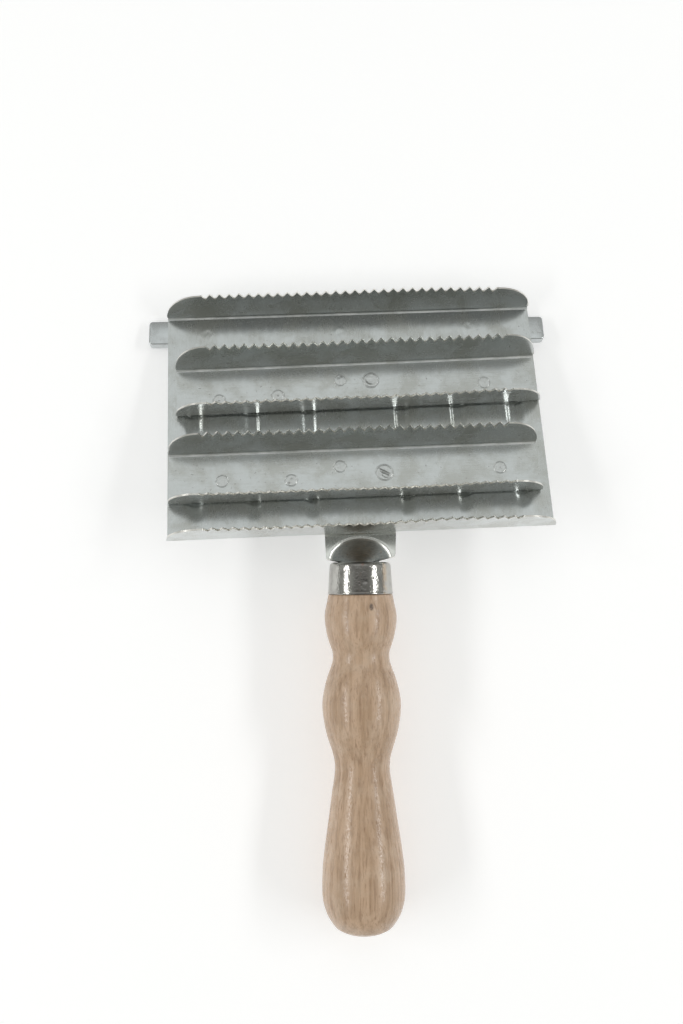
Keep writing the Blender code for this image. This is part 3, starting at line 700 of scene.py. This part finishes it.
def bracket_steel(name, place):
    """Tinned sheet, lighter than the plate's as painted light, with painted shade darkening the inside
    of the pressed scoop, where a few real stains lie.
    """
    finish = Finish(name)
    own = finish.at(place)
    scoop_shade = finish.node("ShaderNodeAttribute", {"attribute_name": "scoop_shade"}, output="Fac")
    lines = finish.grain(finish.at(place, (0.10, 1.0, 1.0)), 2.2, 4.0, 0.7)
    clouds = finish.grain(own, 0.25, 4.0, 0.6, 0.5).rise(0.35, 0.7)
    fine = finish.grain(own, 2.5, 3.0)
    stain = finish.grain(own, 1.1, 2.0).rise(0.60, 0.72) * scoop_shade
    # painted light: the tab's tinning is lighter than the plate's, lifting it against the shade of the
    # plate's edge
    color = finish.mix(clouds * 0.7 + (lines - 0.5) * 0.4, (0.80, 0.81, 0.77), (0.68, 0.69, 0.65))
    # painted shade: the inside of the scoop is darkened as if in shadow, streaked along its rolling
    # lines
    color = finish.mix(scoop_shade * (0.8 + (lines - 0.5) * 0.9), color, (0.22, 0.245, 0.24))
    color = finish.mix(stain * 0.35, color, (0.35, 0.24, 0.12))
    rough = 0.22 + clouds * 0.08 + (lines - 0.5) * 0.1 + scoop_shade * 0.22
    normal = finish.bump(lines * 0.5 + fine * 0.5, 0.005 * MM)
    return finish.set(Base_Color=color, Metallic=1.0, Roughness=rough, Normal=normal)


def add_strip(bm, scoop_shade, shape, stretches):
    """Adds one stretch of the strip, shaped from a flat grid whose rows run from far to near."""
    rows = [start + (end - start) * step / count
            for start, end, count in stretches for step in range(count)]
    rows.append(stretches[-1][1])
    grid = bmesh.ops.create_grid(bm, x_segments=BRACKET_COLUMNS, y_segments=len(rows) - 1, size=1.0)
    for vertex in grid["verts"]:
        u, y = vertex.co.x, rows[round((1 - vertex.co.y) / 2 * (len(rows) - 1))]
        vertex.co = shape(u, y)
        sunk = (BRACKET_TOP - vertex.co.z) / SCOOP_DEPTH
        # painted shade inside the scoop, growing with how deep it is sunk
        vertex[scoop_shade] = smooth((sunk - 0.02) / 0.09) if y < NEAR_FOLD + MM else 0.0


bm = bmesh.new()
scoop_shade = bm.verts.layers.float.new("scoop_shade")
add_strip(bm, scoop_shade, tab_shape, ((BRACKET_FAR, FINE_START, 24), (FINE_START, TIP, 70)))
add_strip(bm, scoop_shade, tang_shape, ((TIP + TANG_START, mouth.y - TANG_RUN, 30),))
bracket = add_piece("bracket_with_scoop", bm, HEAD, [bracket_steel("bracket_tinning", HEAD)] * 2,
                    ["tang_bracket"])
thicken(bracket, BRACKET_SHEET, -1.0)
ease_edges(bracket, 0.2 * MM)

# ---------------------------------------------------------------------------------------------
# Ferrule: a drawn and nickelled cup on the handle's end. Its closed end has a hole for the tang,
# and one punch mark on top locks it to the wood.
# ---------------------------------------------------------------------------------------------

FERRULE_STEPS = 160
SHOULDER = 1.3 * MM
FERRULE_WALL = 0.7 * MM
FERRULE_UNEVEN = 0.04 * MM
FERRULE_WAVE = 5 * MM
WALL_STEPS = 24
TANG_HOLE = 6.1 * MM
HOLE_LIP = ((0.0, FERRULE_WALL), (-0.1 * MM, FERRULE_WALL * 0.5), (0.05 * MM, 0.02 * MM),
            (0.4 * MM, 0.0))        # out from the hole, height
BEAD_HEIGHT = 0.9 * MM
BEAD = ((-0.12 * MM, -0.75 * MM), (0.08 * MM, -0.6 * MM), (0.12 * MM, -0.35 * MM),
        (0.05 * MM, -0.08 * MM), (-0.1 * MM, 0.0))      # out from the rim, height from its end
PUNCH = (0.9 * MM, 6.1 * MM)        # across and along the ferrule
PUNCH_RADIUS = 0.45 * MM
PUNCH_DEPTH = 0.25 * MM


def in_axis(spots):
    """Points as (radius, height) about the handle's axis."""
    own = [AXIS.inverted() @ spot for spot in spots]
    return sorted({(round(math.hypot(spot.x, spot.y), 5), round(spot.z, 5)) for spot in own},
                  key=lambda pair: pair[1])


def arc(centre, radius, start, end, steps):
    angles = [math.radians(start + (end - start) * step / steps) for step in range(steps + 1)]
    return [(centre[0] + radius * math.cos(a), centre[1] + radius * math.sin(a)) for a in angles]


def nickel(name):
    """Nickel plate with a fine orange-peel grain that breaks its highlights into sparks."""
    finish = Finish(name)
    own = finish.at(AXIS)
    peel = finish.grain(own, 1.2, 2.0, 0.6)
    pits = finish.grain(own, 5.0, 1.0)
    across, above = finish.parts(own)[:2]
    brown = across.rise(6.2, 7.0) * across.rise(8.6, 7.4) * finish.grain(own, 0.5, 2.0).rise(0.3, 0.6)
    rust = (finish.grain(finish.at(AXIS, (1.6, 1.6, 0.5)), 0.5, 3.0).rise(0.5, 0.66)
            * abs(across).rise(1.6, 0.2) * above.rise(4, 8))
    clouds = finish.grain(own, 0.3, 4.0).rise(0.4, 0.7)
    color = finish.mix(clouds, (0.50, 0.495, 0.465), (0.38, 0.37, 0.35))
    # painted reflection: the top of the ferrule is darkened along its middle as if it mirrored the dark
    # overhead
    dark_top_reflection = abs(across).rise(4.4, 1.6) * above.rise(4, 8)
    color = finish.mix(dark_top_reflection * 0.8, color, (0.20, 0.19, 0.178))
    color = finish.mix(brown * 0.45, color, (0.52, 0.36, 0.20))
    color = finish.mix(rust * 0.5, color, (0.30, 0.14, 0.09))
    rough = 0.10 + pits.rise(0.5, 0.75) * 0.10 + rust * 0.15
    normal = finish.bump(peel, 0.09 * MM)
    return finish.set(Base_Color=color, Metallic=1.0, Roughness=rough, Normal=normal)


ferrule_rings = in_axis(ferrule_spots)
FERRULE_LENGTH = ferrule_rings[-1][1]
RIM_RADIUS = max(radius for radius, height in ferrule_rings)
MOUTH_RADIUS = max(radius for radius, height in ferrule_rings if height < SHOULDER + 0.1 * MM)
outside = arc((MOUTH_RADIUS - SHOULDER, SHOULDER), SHOULDER, -90, 0, 10)
inside = arc((MOUTH_RADIUS - SHOULDER, SHOULDER), SHOULDER - FERRULE_WALL, 0, -90, 6)
walls = [(MOUTH_RADIUS + (RIM_RADIUS - MOUTH_RADIUS) * step / WALL_STEPS,
          SHOULDER + (FERRULE_LENGTH - BEAD_HEIGHT - SHOULDER) * step / WALL_STEPS)
         for step in range(1, WALL_STEPS + 1)]
bead = [(RIM_RADIUS + out, FERRULE_LENGTH + height) for out, height in BEAD]
bead.append((RIM_RADIUS - FERRULE_WALL, FERRULE_LENGTH))
lip = [(TANG_HOLE + out, height) for out, height in HOLE_LIP]
bm = turned(lip + outside + walls + bead + inside, FERRULE_STEPS)
for vertex in bm.verts:
    around = Vector((vertex.co.x - PUNCH[0], vertex.co.z - PUNCH[1])).length
    if vertex.co.y > 0 and around < 3 * PUNCH_RADIUS:
        vertex.co.y -= PUNCH_DEPTH * math.exp(-(around / PUNCH_RADIUS) ** 2)
    vertex.co += vertex.normal * noise.noise(vertex.co / FERRULE_WAVE) * FERRULE_UNEVEN
add_piece("punched_ferrule", bm, AXIS, [nickel("nickel_plate")], ["ferrule"])

# ---------------------------------------------------------------------------------------------
# Handle: beech, turned to two bulges and a heavy butt and dipped in thin clear lacquer. It shows
# short dark pores, one small knot near the ferrule and faint marks of the lathe.
# ---------------------------------------------------------------------------------------------

HANDLE_STEPS = 72
KNOT = (2.8, 10.9, 14.0)            # across, above and along the handle, in millimetres
KNOT_SQUEEZE = (1.0, 0.5, 0.62)


def beech(name):
    """Lacquered beech: slow bands and finer streaks along the handle, under a patchy gloss."""
    finish = Finish(name)
    own = finish.at(AXIS)
    slow = finish.at(AXIS, (1.0, 1.0, 0.03))
    bands = finish.grain(slow, 0.42, 3.0, 0.6, 0.6)
    streaks = finish.grain(slow, 1.3, 3.0, 0.6)
    pores = finish.grain(finish.at(AXIS, (1.0, 1.0, 0.13)), 2.6, 1.0).rise(0.62, 0.72)
    blotch = finish.grain(own, 0.16, 3.0)
    off = finish.node("ShaderNodeVectorMath", {"operation": "SUBTRACT"}, {0: own, 1: KNOT})
    off = finish.node("ShaderNodeVectorMath", {"operation": "MULTIPLY"}, {0: off, 1: KNOT_SQUEEZE})
    knot = finish.node("ShaderNodeVectorMath", {"operation": "LENGTH"}, {0: off}, "Value")
    dark_knot = knot.rise(0.95, 0.35) * finish.grain(own, 2.5, 2.0).rise(0.25, 0.5)
    color = finish.mix(bands.rise(0.35, 0.68), (0.61, 0.425, 0.285), (0.46, 0.305, 0.19))
    color = finish.mix(streaks.rise(0.46, 0.74) * 0.6, color, (0.28, 0.16, 0.09))
    color = finish.mix(blotch.rise(0.45, 0.75) * 0.35, color, (0.66, 0.52, 0.39))
    color = finish.mix(pores * 0.4, color, (0.27, 0.15, 0.085))
    color = finish.mix(dark_knot * 0.85, color, (0.075, 0.05, 0.04))
    rings = finish.node("ShaderNodeTexWave", {"wave_type": "BANDS", "bands_direction": "Z"},
                        {"Vector": own, "Scale": 0.75, "Distortion": 0.6, "Detail": 1.0})
    skin = finish.grain(finish.at(AXIS, (1.0, 1.0, 0.35)), 1.4, 3.0, 0.65)
    shine = finish.grain(finish.at(AXIS, (1.0, 1.0, 0.6)), 2.2, 2.0, 0.6).rise(0.40, 0.58)
    under = finish.bump(rings, 0.008 * MM)
    normal = finish.bump(skin * 0.8 - pores * 0.5, 0.05 * MM, under)
    rough = 0.33 + streaks * 0.12 + pores * 0.15
    return finish.set(Base_Color=color, Metallic=0.0, Roughness=rough, Normal=normal,
                      Coat_Weight=shine * (1.0 - pores), Coat_Roughness=0.24)


rings = [ring for ring in in_axis(handle_spots) if ring[1] > FERRULE_LENGTH]
LENGTH = rings[-1][1]
slimmest = min(radius for radius, height in rings
               if radius > RIM_RADIUS * 0.75 and height < LENGTH * 0.8)
surface = [(radius, height) for radius, height in rings
           if radius > slimmest - 0.01 * MM or height > LENGTH * 0.85]
SPIGOT_RADIUS = MOUTH_RADIUS - FERRULE_WALL - AIR
SPIGOT_END = FERRULE_WALL + AIR
SPIGOT_CHAMFER = 0.5 * MM
start = FERRULE_LENGTH + 0.05 * MM
first = surface[0][0]
profile = [(0.0, SPIGOT_END), (TANG_HOLE * 0.5, SPIGOT_END),
           (SPIGOT_RADIUS - SPIGOT_CHAMFER, SPIGOT_END), (SPIGOT_RADIUS, SPIGOT_END + SPIGOT_CHAMFER),
           (SPIGOT_RADIUS, start - SPIGOT_CHAMFER), (SPIGOT_RADIUS, start),
           (first - 0.35 * MM, start), (first - 0.08 * MM, start + 0.12 * MM)]
profile += [(radius, height) for radius, height in surface if height > start + 0.3 * MM]
bm = turned(profile if profile[-1][0] == 0 else profile + [(0.0, LENGTH)], HANDLE_STEPS)
handle = add_piece("turned_handle", bm, AXIS, [beech("lacquered_beech")], ["handle"])
round_off = handle.modifiers.new("turned_smooth", "SUBSURF")
round_off.levels = round_off.render_levels = 2

# ---------------------------------------------------------------------------------------------
# Floor and light: a plain white table, a broad soft light beyond the head, two strip lights
# along the sides, and a dim room with one pale card overhead.
# ---------------------------------------------------------------------------------------------

FLOOR_HALF = 3.0                    # metres
CARD_HALF = (0.42, 0.10)            # as parts of a direction, to the side and ahead
CARD_BACK = 0.17


def add_softbox(name, toward, distance, size, radiance, color=(1.0, 1.0, 1.0)):
    """An area light that faces the comb and looks equally bright at any size."""
    light = bpy.data.lights.new(name, "AREA")
    light.shape = "RECTANGLE"
    light.size, light.size_y = size
    light.energy = radiance * math.pi * size[0] * size[1]
    light.color = color
    lamp = bpy.data.objects.new(name, light)
    direction = Vector(toward).normalized()
    lamp.location = direction * distance
    lamp.rotation_euler = direction.to_track_quat("Z", "Y").to_euler()
    bpy.context.scene.collection.objects.link(lamp)


bm = bmesh.new()
bmesh.ops.create_grid(bm, x_segments=1, y_segments=1, size=FLOOR_HALF)
floor_mesh = bpy.data.meshes.new("table")
bm.to_mesh(floor_mesh)
bm.free()
floor = bpy.data.objects.new("table", floor_mesh)
bpy.context.scene.collection.objects.link(floor)
table = Finish("white_table")
table.set(Base_Color=(0.84, 0.84, 0.84), Roughness=0.9, Specular_IOR_Level=0.1,
          Emission_Color=(1.0, 1.0, 1.0), Emission_Strength=0.345)
floor_mesh.materials.append(table.material)

room = Finish("dim_room", bpy.data.worlds, "Background")
side, ahead, above = room.parts(room.node("ShaderNodeTexCoord", output="Generated"))
reach = (side / CARD_HALF[0]) ** 2.0 + ((ahead + CARD_BACK) / CARD_HALF[1]) ** 2.0
card = reach.rise(1.5, 0.6) * above.rise(0.0, 0.3)
room.set(Color=room.mix(card, (0.42, 0.425, 0.41), (0.06, 0.06, 0.06)))
bpy.context.scene.world = room.material
add_softbox("far_softbox", toward=(0.0, 0.50, 0.87), distance=1.6, size=(1.5, 1.1), radiance=0.43,
            color=(0.95, 0.985, 1.0))
add_softbox("left_strip", toward=(-0.78, -0.08, 0.62), distance=1.2, size=(1.0, 0.17), radiance=7.5)
add_softbox("right_strip", toward=(0.76, -0.08, 0.65), distance=1.2, size=(1.0, 0.16), radiance=7.5)
